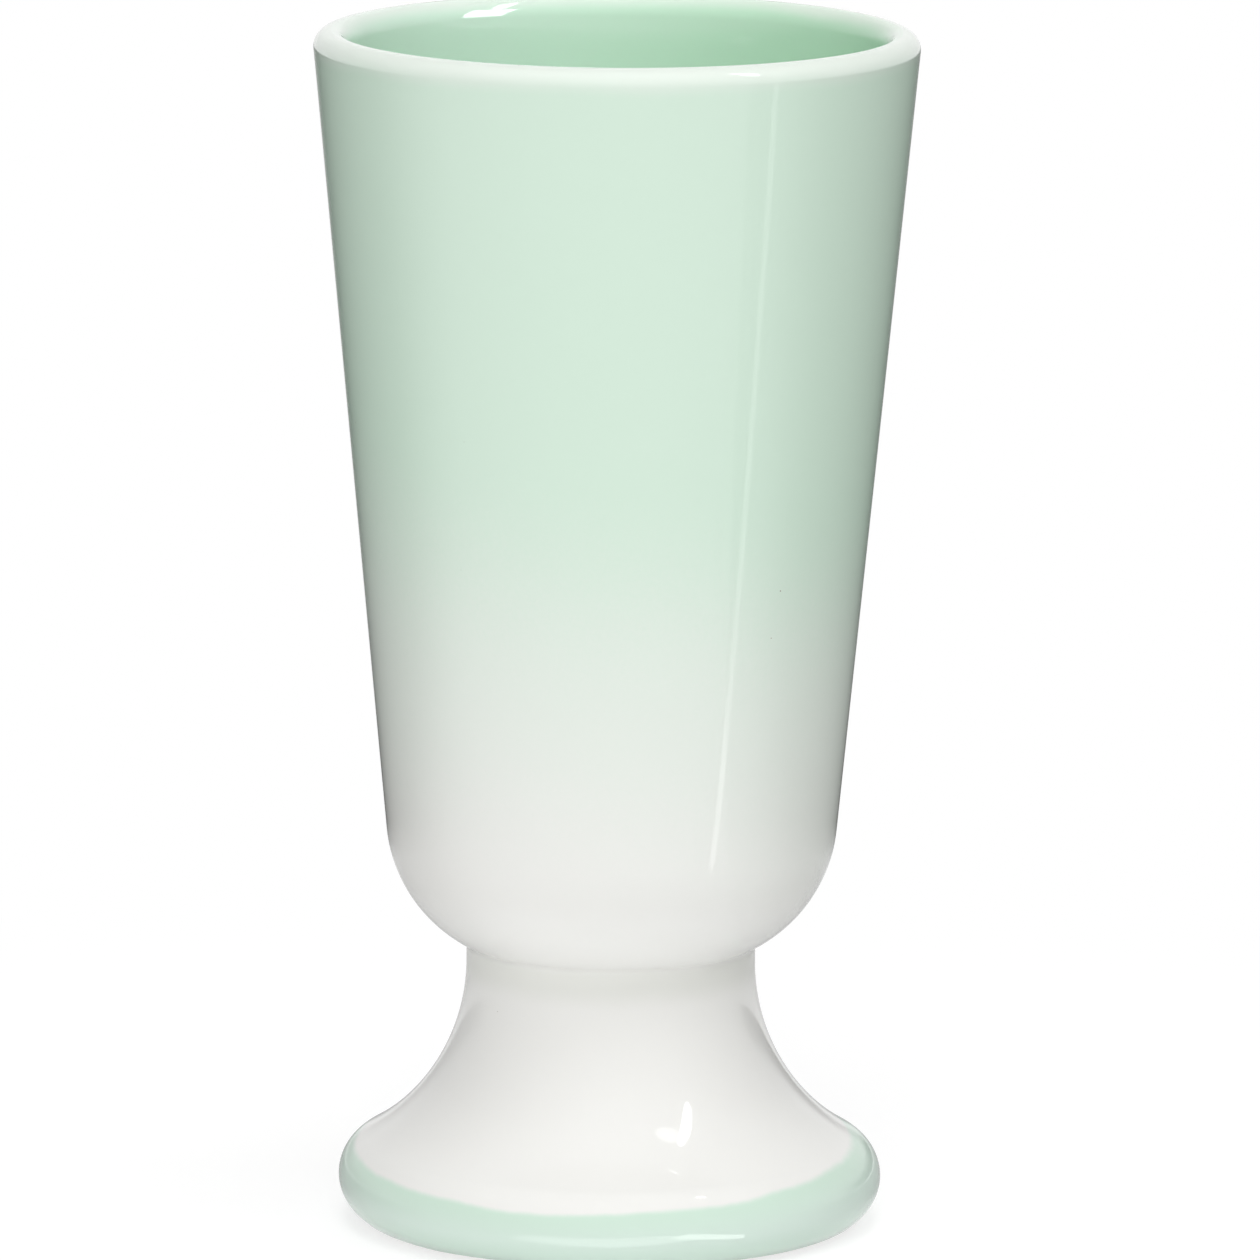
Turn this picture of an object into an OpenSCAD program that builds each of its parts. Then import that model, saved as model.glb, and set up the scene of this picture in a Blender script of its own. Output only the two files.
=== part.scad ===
// Mazagran cup: a tall tapered bowl luted onto a hollow flared foot, under coats of glaze.
// The origin is on the cup's axis, at the level of the surface that it stands on, and +Z is up.
// Diameters and heights are those of the finished cup. The clay lies one coat of glaze under them.

/* [Cup] */
// Height from the table to the top of the lip
cup_h = 150; // [130:1:170]
// Thickness of a coat of glaze
glaze_t = 0.3; // [0.2:0.05:0.4]

/* [Bowl] */
// Diameter over the lip
rim_d = 75; // [68:0.5:84]
// Thickness of the lip over its two round edges
lip_t = 3.8; // [3.7:0.1:4.6]
// Radius of the lip's outer edge
lip_outer_r = 2.1; // [1.6:0.1:2.2]
// Radius of the lip's inner edge
lip_inner_r = 1.5; // [1:0.1:1.6]
// Radius of the soft curve from the lip's inner edge into the wall
lip_soft_r = 3.4; // [2.5:0.1:8]
// Angle over level that the surface faces where the inner edge runs into the soft curve
lip_soft_angle = 45; // [25:1:60]
// Diameter of the bowl where its wall turns into the round bottom
bowl_d = 56.4; // [52:0.2:62]
// Radius of the round bottom
bowl_round_r = 18.2; // [16:0.2:20]
// Thickness of the wall above the round bottom
bowl_wall_t = 4.2; // [3.4:0.1:5.4]
// Radius of the round bottom inside
cavity_round_r = 14.5; // [11:0.5:16.5]
// Thickness of the bowl's floor
floor_t = 4.5; // [3.5:0.1:7]

/* [Foot] */
// Diameter over the foot
foot_d = 68; // [64:0.5:76]
// Radius of the foot's rolled edge
foot_edge_r = 5.6; // [4.8:0.1:6.4]
// Radius of the hollow curve between the rolled edge and the neck
flare_r = 25.7; // [22:0.1:30]
// Diameter of the neck
neck_d = 36.2; // [33:0.2:40]
// Height of the straight collar above the flare
collar_h = 2.3; // [1.8:0.1:4]
// Thickness of the foot's wall
foot_wall_t = 4.2; // [3.4:0.1:5.4]
// Radius where the space under the foot turns from its rim into its flare
hollow_round_r = 4; // [2:0.5:6]
// Radius of the edge round the mouth of the space under the foot
hollow_edge_r = 1.3; // [0.8:0.1:1.6]
// Width of the bare ring that the cup stands on
ring_w = 2.5; // [1.5:0.1:3.5]
// Distance from the bare ring to the round edges on both sides of it
ring_margin = 0.3; // [0.2:0.05:0.6]
// Height over the table at which the glaze was wiped off
bare_h = 0.6; // [0.5:0.1:1.2]

/* [Joint and decoration] */
// Thickness of the slip between the bowl and its seat in the foot
slip_t = 0.5; // [0.3:0.1:1]
// Radius of the glaze that fills the corner of the waist
waist_fillet_r = 1; // [0.6:0.1:1.4]
// Height of the coloured band round the foot
band_h = 9.4; // [7:0.1:10.4]

/* [Hidden] */
$fn = 180;

// Every disc is drawn this much larger, so that an arc and the line it runs into cross cleanly
lap = 0.002;
// Height that clears the whole cup, for cuts that run out of its top
clear_h = 2 * cup_h;
// Depth by which cuts run out of its underside
clear_depth = 1;

neck_r = neck_d / 2;

// Outline of the foot: the rolled edge and the flare touch each other
foot_edge_c = [foot_d / 2 - foot_edge_r, foot_edge_r];
flare_c = [neck_r + flare_r, foot_edge_r + leg(flare_r + foot_edge_r, neck_r + flare_r - foot_edge_c.x)];

// Standing ring, and the space under the foot inside it
ring_outer_r = foot_edge_c.x - ring_margin;
ring_inner_r = ring_outer_r - ring_w;
mouth_c = [ring_inner_r - ring_margin, hollow_edge_r];
mouth_r = mouth_c.x - hollow_edge_r;
hollow_flare_r = flare_r + foot_wall_t;
hollow_round_c = [
    mouth_r - hollow_round_r,
    flare_c.y - leg(hollow_flare_r + hollow_round_r, flare_c.x - mouth_r + hollow_round_r)
];

// Outline of the bowl, which sits where its round bottom is as wide as the neck
seam_z = flare_c.y + collar_h;
bowl_round_x = bowl_d / 2 - bowl_round_r;
bowl_round_c = [bowl_round_x, seam_z + leg(bowl_round_r, neck_r - bowl_round_x)];
lip_outer_c = [rim_d / 2 - lip_outer_r, cup_h - lip_outer_r];
wall_dir = touching_dir(lip_outer_c, lip_outer_r, bowl_round_c, bowl_round_r);

// Space inside the bowl
floor_z = bowl_round_c.y - bowl_round_r + floor_t;
cavity_round_c = [bowl_d / 2 - bowl_wall_t - cavity_round_r, floor_z + cavity_round_r];
lip_inner_c = [rim_d / 2 - lip_t + lip_inner_r, cup_h - lip_inner_r];
soft_dir = [-cos(lip_soft_angle), sin(lip_soft_angle)];
lip_soft_c = lip_inner_c - (lip_soft_r - lip_inner_r) * soft_dir;
cavity_dir = touching_dir(lip_soft_c, -lip_soft_r, cavity_round_c, cavity_round_r);
crest_r = (lip_outer_c.x + lip_inner_c.x) / 2;

// Fillet of glaze at the waist, and the height in the collar where two coats meet
waist_reach = bowl_round_r + waist_fillet_r;
waist_x = neck_r + waist_fillet_r;
waist_c = [waist_x, bowl_round_c.y - leg(waist_reach, waist_x - bowl_round_x)];
waist_touch = bowl_round_c + (waist_c - bowl_round_c) * bowl_round_r / waist_reach;
coats_meet_z = flare_c.y + collar_h / 2;

// Other leg of a right triangle
function leg(hypotenuse, side) = sqrt(hypotenuse * hypotenuse - side * side);

// Direction square to the line that touches two circles on its inner side.
// A negative radius puts that circle on the line's outer side.
function touching_dir(upper_c, upper_r, lower_c, lower_r) =
    let (
        span = upper_c - lower_c,
        angle = atan2(span.y, span.x) - acos((lower_r - upper_r) / norm(span))
    )
    [cos(angle), sin(angle)];

// Outlines are drawn in the half-plane of radius and height.

module disc(centre, r) {
    translate(centre) circle(r = r + lap);
}

// Band of heights, out past the widest part of the cup
module heights(low, high) {
    translate([0, low]) square([cup_h, high - low]);
}

// Block with a flared side: a round edge at its foot, then a hollow curve up to a straight neck
module flared_block(bottom, edge_c, edge_r, flare_radius, neck_radius) {
    disc(edge_c, edge_r);
    difference() {
        polygon([
            [0, bottom],
            [edge_c.x, bottom],
            edge_c,
            flare_c,
            [neck_radius, flare_c.y],
            [neck_radius, bowl_round_c.y],
            [0, bowl_round_c.y]
        ]);
        disc(flare_c, flare_radius);
    }
}

// Bowl without its hollow, its surface moved in by inset
module bowl_outside(inset) {
    round_r = bowl_round_r - inset;
    lip_r = lip_outer_r - inset;
    disc(bowl_round_c, round_r);
    disc(lip_outer_c, lip_r);
    polygon([
        [0, bowl_round_c.y - round_r],
        bowl_round_c - [0, round_r],
        bowl_round_c + round_r * wall_dir,
        lip_outer_c + lip_r * wall_dir,
        lip_outer_c + [0, lip_r],
        [0, cup_h - inset]
    ]);
}

// Space in the bowl, out past the soft inside of its lip, its surface moved into the wall by grow
module bowl_space(grow) {
    round_r = cavity_round_r + grow;
    soft_r = lip_soft_r - grow;
    disc(cavity_round_c, round_r);
    difference() {
        polygon([
            [0, cavity_round_c.y - round_r],
            cavity_round_c - [0, round_r],
            cavity_round_c + round_r * cavity_dir,
            lip_soft_c - soft_r * cavity_dir,
            lip_inner_c,
            [lip_inner_c.x, clear_h],
            [0, clear_h]
        ]);
        disc(lip_inner_c, lip_inner_r - grow + lap);
        intersection() {
            disc(lip_soft_c, soft_r);
            polygon([lip_soft_c, lip_soft_c + clear_h * soft_dir, [0, 0]]);
        }
    }
}

module bowl_wall(inset) {
    difference() {
        bowl_outside(inset);
        bowl_space(inset);
    }
}

// Foot without its hollow, its surface moved in by inset
module foot_outside(inset) {
    flared_block(inset, foot_edge_c, foot_edge_r - inset, flare_r + inset, neck_r - inset);
}

// Space under the foot, out through its rounded mouth, its surface moved into the wall by grow
module foot_space(grow) {
    flared_block(
        0, hollow_round_c, hollow_round_r + grow, hollow_flare_r - grow, neck_r - foot_wall_t + grow
    );
    translate([0, -clear_depth]) square([mouth_r + grow, hollow_round_c.y + clear_depth]);
    difference() {
        polygon([[0, -clear_depth], [mouth_c.x, -clear_depth], mouth_c, [0, mouth_c.y]]);
        disc(mouth_c, hollow_edge_r - grow);
    }
}

// Corner of the waist, filled to a hollow curve
module waist_fill() {
    difference() {
        polygon([[0, waist_c.y], waist_c, waist_touch, [0, waist_touch.y]]);
        disc(waist_c, waist_fillet_r);
    }
}

// All the glaze on the outside of the clay, from the crest of the lip to the standing ring
module outside_coat() {
    difference() {
        union() {
            bowl_outside(0);
            foot_outside(0);
            waist_fill();
        }
        bowl_outside(glaze_t);
        foot_outside(glaze_t);
    }
}

// Side of the bowl's wall that faces the drink, divided at the crest of the lip
module drink_side() {
    bowl_outside(lip_outer_r / 2);
    translate([0, lip_outer_c.y]) square([crest_r, cup_h]);
}

module turned() {
    rotate_extrude() intersection() {
        children();
        square([cup_h, clear_h]);
    }
}

// Thrown bowl
module bowl() {
    color("#efece4") turned() bowl_wall(glaze_t);
}

// Hollow foot: its collar is cut to the curve of the bowl, and it stands on a bare ring
module foot() {
    color("#f1eee7") turned() {
        difference() {
            foot_outside(glaze_t);
            foot_space(glaze_t);
            bowl_outside(glaze_t - slip_t);
        }
        translate([ring_inner_r, 0]) square([ring_w, hollow_edge_r]);
    }
}

// Slip that lutes the bowl into the collar
module slip_joint() {
    color("#dfdacd") turned() difference() {
        intersection() {
            bowl_outside(glaze_t - slip_t);
            foot_outside(glaze_t);
        }
        bowl_outside(glaze_t);
        foot_space(glaze_t);
    }
}

// Mint glaze on the outside of the bowl, which fades to white on its way down to the waist
module outer_glaze() {
    color("#cfe8d9") turned() difference() {
        intersection() {
            outside_coat();
            heights(coats_meet_z, clear_h);
        }
        drink_side();
    }
}

// Mint glaze inside the bowl, over the lip to its crest
module liner_glaze() {
    color("#bddcc8") turned() difference() {
        intersection() {
            bowl_wall(0);
            drink_side();
        }
        bowl_wall(glaze_t);
    }
}

// Clear glaze on the flare, from the collar to the coloured band
module foot_glaze() {
    color("#f8f8f5") turned() intersection() {
        outside_coat();
        heights(band_h, coats_meet_z);
    }
}

// Mint glaze round the rolled edge
module foot_band() {
    color("#c4e2d1") turned() intersection() {
        outside_coat();
        heights(bare_h, band_h);
    }
}

// Clear glaze in the space under the foot and on the bowl's underside above it
module hollow_glaze() {
    color("#f4f5f1") turned() intersection() {
        difference() {
            foot_space(glaze_t);
            bowl_outside(glaze_t);
        }
        union() {
            difference() {
                heights(bare_h, cup_h);
                foot_space(0);
            }
            bowl_outside(0);
        }
    }
}

bowl();
foot();
slip_joint();
outer_glaze();
liner_glaze();
foot_glaze();
foot_band();
hollow_glaze();
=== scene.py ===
# %% [markdown]
# # A mazagran cup
#
# A mazagran is a tall coffee cup on a foot. A potter turns the bowl and the foot apart, sticks them
# together with slip while they are leather hard, fires them, and then puts on the glazes one by one. The
# packed cup comes first, as a fixed frame: its clay stays as it is, and this lesson makes the glazes.

import bpy
import numpy as np
from mathutils import Matrix, Vector


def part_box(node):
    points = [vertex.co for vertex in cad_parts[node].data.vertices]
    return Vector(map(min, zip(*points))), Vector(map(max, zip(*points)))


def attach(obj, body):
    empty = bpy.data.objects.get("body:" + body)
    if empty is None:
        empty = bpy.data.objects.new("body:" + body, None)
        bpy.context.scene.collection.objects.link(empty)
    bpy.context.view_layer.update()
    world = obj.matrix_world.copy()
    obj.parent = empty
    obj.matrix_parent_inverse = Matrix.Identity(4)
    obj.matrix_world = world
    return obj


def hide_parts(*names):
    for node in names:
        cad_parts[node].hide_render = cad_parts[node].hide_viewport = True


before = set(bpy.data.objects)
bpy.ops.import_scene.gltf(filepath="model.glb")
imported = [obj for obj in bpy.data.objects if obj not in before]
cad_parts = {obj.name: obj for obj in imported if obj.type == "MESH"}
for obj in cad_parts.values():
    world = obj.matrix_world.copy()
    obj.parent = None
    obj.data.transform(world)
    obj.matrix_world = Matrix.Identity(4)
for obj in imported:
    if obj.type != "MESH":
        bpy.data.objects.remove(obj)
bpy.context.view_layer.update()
print("pieces of the packed cup:", ", ".join(sorted(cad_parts)))

# %% [markdown]
# ## The camera
#
# A cup in a shop picture is taken from far away with a long lens, a little from above, so that its sides
# stay nearly straight. The place, aim and lens below were fitted to the outline of the cup in the
# picture. The tiny roll is there because that cup leans a little. A look-at matrix is worked out here
# from three directions, which is easier to follow than a list of angles.

# %% The camera
camera_place = Vector((0.0, -1.4654, 0.3403))
camera_aim = Vector((0.0021, 0.0, 0.0748))
camera_roll = 0.0071
lens_mm = 341.7
sensor_mm = 36.0


def looking_matrix(place, aim, roll=0.0):
    """Matrix of something that stands at place, looks along its own -Z at aim, and is then rolled."""
    away = (place - aim).normalized()
    right = Vector((0.0, 0.0, 1.0)).cross(away).normalized()
    turned = Matrix((right, away.cross(right), away)).transposed().to_4x4()
    return Matrix.Translation(place) @ turned @ Matrix.Rotation(roll, 4, "Z")


camera = bpy.data.objects.new("camera", bpy.data.cameras.new("camera"))
camera.data.lens = lens_mm
camera.data.sensor_width = sensor_mm
camera.matrix_world = looking_matrix(camera_place, camera_aim, camera_roll)
bpy.context.scene.collection.objects.link(camera)
bpy.context.scene.camera = camera
print(f"camera {(camera_place - camera_aim).length:.3f} m from the cup")

# %% [markdown]
# ## Sizes
#
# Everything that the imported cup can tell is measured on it. The radii of its curves can't be read off a
# box, so they are written down here, in millimetres, as a potter would note them beside a drawing.

# %% Sizes of the cup, in millimetres
mm = 0.001


def measured(node, corner, axis):
    """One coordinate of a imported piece's box, to a tenth of a millimetre."""
    return round(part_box(node)[corner][axis] / mm, 1)


low, high = 0, 1
cup_h = measured("outer_glaze", high, 2)
rim_r = measured("outer_glaze", high, 0)
foot_r = measured("foot_band", high, 0)
band_h = measured("foot_band", high, 2)
bare_h = measured("foot_band", low, 2)
coats_meet_z = measured("foot_glaze", high, 2)

glaze_t = 0.3
lip_t = 3.8
lip_outer_r = 2.1
lip_inner_r = 1.5
lip_soft_r = 3.4
lip_soft_angle = np.radians(45)
bowl_r = 28.2
bowl_round_r = 18.2
bowl_wall_t = 4.2
cavity_round_r = 14.5
floor_t = 4.5
foot_edge_r = 5.6
flare_r = 25.7
neck_r = 18.1
collar_h = 2.3
waist_fillet_r = 1.0
foot_wall_t = 4.2
hollow_round_r = 4.0
hollow_edge_r = 1.3
ring_w = 2.5
ring_margin = 0.3
print(f"cup {cup_h} mm tall, {2 * rim_r} mm over the lip, {2 * foot_r} mm over the foot")

# %% [markdown]
# ## Outlines
#
# Every coat of glaze is a turned shape, so half of its section says it all. The section is drawn with
# round stretches and straight ones that touch. A spline could follow it too, but circles that touch give
# exactly the curves that the clay has, and a coat keeps its thickness when each radius grows or shrinks
# by the same amount.

# %% Arcs, lines and the circles that they touch
fine_step = 0.7
finest_turn = np.radians(4)
same_place = 1e-6


def polar(angle):
    """Direction at an angle from the radius, in the half-plane of radius and height."""
    return np.stack([np.cos(angle), np.sin(angle)], axis=-1)


def heading(vector):
    """Angle of a direction in that half-plane."""
    return np.arctan2(vector[1], vector[0])


def arc(centre, radius, start, stop):
    """Points on a circle from one angle to another, close enough for the length and for the turn."""
    turn = abs(stop - start)
    count = int(np.ceil(max(radius * turn / fine_step, turn / finest_turn))) + 1
    return centre + radius * polar(np.linspace(start, stop, count))


def chain(*stretches):
    """The stretches one after another, without the points where one ends as the next begins."""
    points = np.concatenate([np.atleast_2d(s) for s in stretches])
    kept = np.append(True, np.hypot(*np.diff(points, axis=0).T) > same_place)
    return points[kept]


def filled(points, spacing):
    """A chain with its stretches divided into steps no longer than spacing, which may differ along it."""
    gaps = np.hypot(*np.diff(points, axis=0).T)
    shares = np.ceil(gaps / spacing).astype(int)
    start = np.repeat(np.arange(len(gaps)), shares)
    nth = np.arange(len(start)) - np.repeat(np.cumsum(shares) - shares, shares)
    part = (nth / np.repeat(shares, shares))[:, None]
    return np.concatenate([points[start] + part * (points[start + 1] - points[start]), points[-1:]])


def leg(hypotenuse, side):
    """Other leg of a right triangle."""
    return np.sqrt(hypotenuse**2 - side**2)


def touching_angle(upper_c, upper_r, lower_c, lower_r):
    """Angle square to the line that touches two circles. A negative radius puts a circle past the line."""
    span = upper_c - lower_c
    return heading(span) - np.arccos((lower_r - upper_r) / np.hypot(*span))


print("arcs turn by", round(np.degrees(finest_turn)), "degrees a step at most")

# %% [markdown]
# ## The outside, from the lip's crest to the standing ring
#
# From the top: the round edge of the lip, the straight tapered wall, the round bottom of the bowl, a
# small fillet where glaze has filled the corner of the waist, the short collar, the hollow flare of the
# foot, and its rolled edge. Each circle is placed by the ones that it touches.

# %% Circles of the outside
lip_outer_c = np.array([rim_r - lip_outer_r, cup_h - lip_outer_r])
foot_edge_c = np.array([foot_r - foot_edge_r, foot_edge_r])
flare_x = neck_r + flare_r
flare_c = np.array([flare_x, foot_edge_r + leg(flare_r + foot_edge_r, flare_x - foot_edge_c[0])])
bowl_round_x = bowl_r - bowl_round_r
bowl_seat_z = flare_c[1] + collar_h
bowl_round_c = np.array([bowl_round_x, bowl_seat_z + leg(bowl_round_r, neck_r - bowl_round_x)])
wall_angle = touching_angle(lip_outer_c, lip_outer_r, bowl_round_c, bowl_round_r)
waist_x = neck_r + waist_fillet_r
waist_reach = bowl_round_r + waist_fillet_r
waist_c = np.array([waist_x, bowl_round_c[1] - leg(waist_reach, waist_x - bowl_round_x)])
waist_angle = heading(waist_c - bowl_round_c)
edge_angle = heading(flare_c - foot_edge_c)


def edge_angle_at(height, inset):
    """Angle on the rolled edge, inset under its surface, at a height."""
    return np.arcsin((height - foot_edge_r) / (foot_edge_r - inset))


def bowl_side(crest, inset):
    """Down the bowl from the crest to the middle of the collar, inset under the finished surface."""
    return chain(
        [crest, cup_h - inset],
        arc(lip_outer_c, lip_outer_r - inset, np.pi / 2, wall_angle),
        arc(bowl_round_c, bowl_round_r - inset, wall_angle, waist_angle),
        arc(waist_c, waist_fillet_r + inset, waist_angle + np.pi, np.pi),
        [neck_r - inset, coats_meet_z],
    )


def flare_side(inset):
    """Down the foot from the middle of the collar to the coloured band, inset under the finished surface."""
    return chain(
        [neck_r - inset, coats_meet_z],
        arc(flare_c, flare_r + inset, np.pi, edge_angle + np.pi),
        arc(foot_edge_c, foot_edge_r - inset, edge_angle, edge_angle_at(band_h, inset)),
    )


print(f"wall leans out by {-np.degrees(wall_angle):.2f} degrees, bowl sits {bowl_seat_z:.2f} mm up")

# %% [markdown]
# ## The inside, from the crest to the bottom of the bowl
#
# Inside the lip, a round edge runs into a long soft curve before the wall begins, so that the lip feels
# thin to the mouth and is still thick enough not to chip. The bottom is round, so that a spoon reaches
# all the sugar.

# %% Circles of the inside
lip_inner_c = np.array([rim_r - lip_t + lip_inner_r, cup_h - lip_inner_r])
soft_angle = np.pi - lip_soft_angle
lip_soft_c = lip_inner_c - (lip_soft_r - lip_inner_r) * polar(soft_angle)
floor_z = bowl_round_c[1] - bowl_round_r + floor_t
cavity_round_c = np.array([bowl_r - bowl_wall_t - cavity_round_r, floor_z + cavity_round_r])
cavity_angle = touching_angle(lip_soft_c, -lip_soft_r, cavity_round_c, cavity_round_r)
crest_r = (lip_outer_c[0] + lip_inner_c[0]) / 2


def drink_side(inset):
    """Down the inside from the crest to the axis, inset under the finished surface."""
    return chain(
        [crest_r, cup_h - inset],
        arc(lip_inner_c, lip_inner_r - inset, np.pi / 2, soft_angle),
        arc(lip_soft_c, lip_soft_r - inset, soft_angle, cavity_angle + np.pi),
        arc(cavity_round_c, cavity_round_r + inset, cavity_angle, -np.pi / 2),
        [0.0, floor_z - inset],
    )


print(f"bottom of the drink {floor_z:.1f} mm up, crest of the lip {2 * crest_r:.1f} mm across")

# %% [markdown]
# ## The space under the foot
#
# The foot is hollow, or it would crack in the kiln. Its wall follows the flare outside, turns down at the
# wide mouth and ends in a small round edge beside the standing ring. The bowl's own underside closes it
# at the top, and glaze has run into the corner there.

# %% Circles of the space under the foot
ring_outer_r = foot_edge_c[0] - ring_margin
ring_inner_r = ring_outer_r - ring_w
mouth_c = np.array([ring_inner_r - ring_margin, hollow_edge_r])
mouth_r = mouth_c[0] - hollow_edge_r
hollow_flare_r = flare_r + foot_wall_t
hollow_round_x = mouth_r - hollow_round_r
hollow_reach = hollow_flare_r + hollow_round_r
hollow_round_c = np.array([hollow_round_x, flare_c[1] - leg(hollow_reach, flare_c[0] - hollow_round_x)])
hollow_angle = heading(hollow_round_c - flare_c) % (2 * np.pi)
bore_r = neck_r - foot_wall_t
pool_r = 0.5


def hollow_side(inset):
    """From the axis along the bowl's underside and down the hollow, inset under the finished surface."""
    underside_r = bowl_round_r - inset
    bore = bore_r + inset
    pool_x = bore - pool_r
    pool_c = np.array([pool_x, bowl_round_c[1] - leg(underside_r + pool_r, pool_x - bowl_round_x)])
    pool_angle = heading(pool_c - bowl_round_c)
    return chain(
        [0.0, bowl_round_c[1] - underside_r],
        arc(bowl_round_c, underside_r, -np.pi / 2, pool_angle),
        arc(pool_c, pool_r, pool_angle + np.pi, 0.0),
        arc(flare_c, hollow_flare_r - inset, np.pi, hollow_angle),
        arc(hollow_round_c, hollow_round_r + inset, hollow_angle - np.pi, 0.0),
        [mouth_r + inset, mouth_c[1]],
    )


print(f"standing ring {2 * ring_inner_r:.1f} to {2 * ring_outer_r:.1f} mm across")

# %% [markdown]
# ## Turning an outline into a piece
#
# A lathe in Blender is the Spin tool or the Screw modifier. Here the turn is written out instead: an
# outline is carried round the axis on a grid of points by angles, so each angle may have a slightly
# different outline. That is what makes a coat look poured and dipped by hand. A closed outline joins up
# with itself, and one that starts and ends on the axis gets a fan of triangles at each end.

# %% Turning an outline into a piece
turn_steps = 320
angles = np.arange(turn_steps) * (2 * np.pi / turn_steps)


def turned_faces(rings, closed):
    """Corner numbers of the quads between rings and of the triangles at the poles, facing outwards."""
    here = np.arange(turn_steps)
    after = np.roll(here, -1)
    first = np.arange(rings if closed else rings - 1)[:, None] * turn_steps
    following = (first + turn_steps) % (rings * turn_steps) if closed else first + turn_steps
    quads = np.stack([first + here, first + after, following + after, following + here], axis=-1)
    top = (rings - 1) * turn_steps
    start_pole = np.full(turn_steps, rings * turn_steps)
    fans = np.concatenate([
        np.stack([start_pole, after, here], axis=-1),
        np.stack([top + here, top + after, start_pole + 1], axis=-1),
    ])
    return quads.reshape(-1, 4), fans[: 0 if closed else None]


print("outlines are turned in", turn_steps, "steps")

# %% [markdown]
# ## Writing the mesh
#
# Blender takes whole arrays with foreach_set, which is far quicker than adding points one by one. The
# edges on which a coat turns sharply, such as its rims, are marked, and everything else is shaded smooth.

# %% Writing the mesh


def turned_piece(name, outline, corners=()):
    """A mesh from an outline of (points, angles, 2) radii and heights in millimetres.

    The point (radius, height) at angle a goes to (radius cos a, radius sin a, height). The outline runs with
    the glaze on its left. Corners are the numbers of its points at which the surface has a sharp edge.
    """
    closed = outline[0, 0, 0] > 0
    rings = outline if closed else outline[1:-1]
    poles = outline[:0, 0] if closed else outline[[0, -1], 0]
    radius, height = rings[..., 0], rings[..., 1]
    points = np.stack([radius * np.cos(angles), radius * np.sin(angles), height], axis=-1).reshape(-1, 3)
    tips = np.stack([poles[:, 0], poles[:, 0], poles[:, 1]], axis=-1)
    places = np.concatenate([points, tips]) * mm
    quads, fans = turned_faces(len(rings), closed)
    corner_numbers = np.concatenate([quads.ravel(), fans.ravel()])
    starts = np.concatenate([np.arange(len(quads)) * 4, quads.size + np.arange(len(fans)) * 3])
    mesh = bpy.data.meshes.new(name)
    mesh.vertices.add(len(places))
    mesh.vertices.foreach_set("co", places.astype(np.float32).ravel())
    mesh.loops.add(len(corner_numbers))
    mesh.loops.foreach_set("vertex_index", corner_numbers.astype(np.int32))
    mesh.polygons.add(len(starts))
    mesh.polygons.foreach_set("loop_start", starts.astype(np.int32))
    mesh.update(calc_edges=True)
    mesh.validate()
    mesh.shade_smooth()
    ends = np.empty(len(mesh.edges) * 2, np.int32)
    mesh.edges.foreach_get("vertices", ends)
    ring_of = ends.reshape(-1, 2) // turn_steps + (0 if closed else 1)
    sharp = (ring_of[:, 0] == ring_of[:, 1]) & np.isin(ring_of[:, 0], np.array(corners, dtype=int))
    mesh.attributes.new("sharp_edge", "BOOLEAN", "EDGE").data.foreach_set("value", sharp)
    piece = bpy.data.objects.new(name, mesh)
    bpy.context.scene.collection.objects.link(piece)
    print(f"{name}: {len(rings)} rings, {2 * len(quads) + len(fans)} triangles")
    return piece


# %% [markdown]
# ## Hand and kiln
#
# Melted glaze is never quite even. On the outside it lies in faint swells, a few hundredths of a
# millimetre deep, which only show because they bend the reflections. They are sums of a few cosines round
# the cup that also drift with the height, always inwards, and they die away at the crest and at the bare
# ring, where coats have to meet or end cleanly.

# %% Swells in a coat
swell_depth = 0.05
swell_fade = 7.0
swell_waves = ((2, 0.021, 0.4), (3, -0.034, 2.1), (5, 0.047, 4.4))


def eased(x):
    """Smooth step from 0 to 1."""
    x = np.clip(x, 0, 1)
    return x * x * (3 - 2 * x)


def swell(height, shift):
    """How far the surface lies under the even coat: the mean of a few cosines of turns, height and phase."""
    fade = eased((cup_h - height) / swell_fade) * eased((height - 2 * bare_h) / swell_fade)
    waves = [np.cos(k * angles + rise * height + phase + shift) for k, rise, phase in swell_waves]
    return -swell_depth * fade * (1 + np.mean(waves, axis=0)) / 2


def swollen(points, shift):
    """An outline at every angle, moved along its own normal by the swell."""
    along = np.gradient(points, axis=0)
    along /= np.hypot(*along.T)[:, None]
    normal = np.stack([-along[:, 1], along[:, 0]], axis=-1)
    depth = swell(points[:, 1:], shift)
    return points[:, None] + normal[:, None] * depth[..., None]


def even(points):
    """An outline that is the same at every angle."""
    return np.broadcast_to(points[:, None], (len(points), turn_steps, 2))


print("swells up to", swell_depth, "mm deep")

# %% [markdown]
# ## The coat on the bowl
#
# The bowl is dipped in white glaze and sprayed with mint from the top. Its coat is one closed shell: up
# the finished side, over the crest, and down the side that grips the clay.

# %% The coat on the bowl
coat_step = 1.6
grip_step = 4.0


def shell(outside, inside):
    """A closed outline of two that both run down: up the outside, down the inside, and its corners."""
    corners = (0, len(outside) - 1, len(outside), len(outside) + len(inside) - 1)
    return np.concatenate([outside[::-1], inside]), corners


bowl_skin = swollen(filled(bowl_side(crest_r, 0.0), coat_step), 0.0)
bowl_grip = even(filled(bowl_side(crest_r, glaze_t), grip_step))
bowl_coat = turned_piece("bowl_coat", *shell(bowl_skin, bowl_grip))
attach(bowl_coat, "root")
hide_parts("outer_glaze")

# %% [markdown]
# ## The coat on the flare
#
# Below the collar the clear glaze goes on alone. The two coats meet edge to edge in the collar, and
# because both take their swells from the same cosines, the surface runs through.

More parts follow.
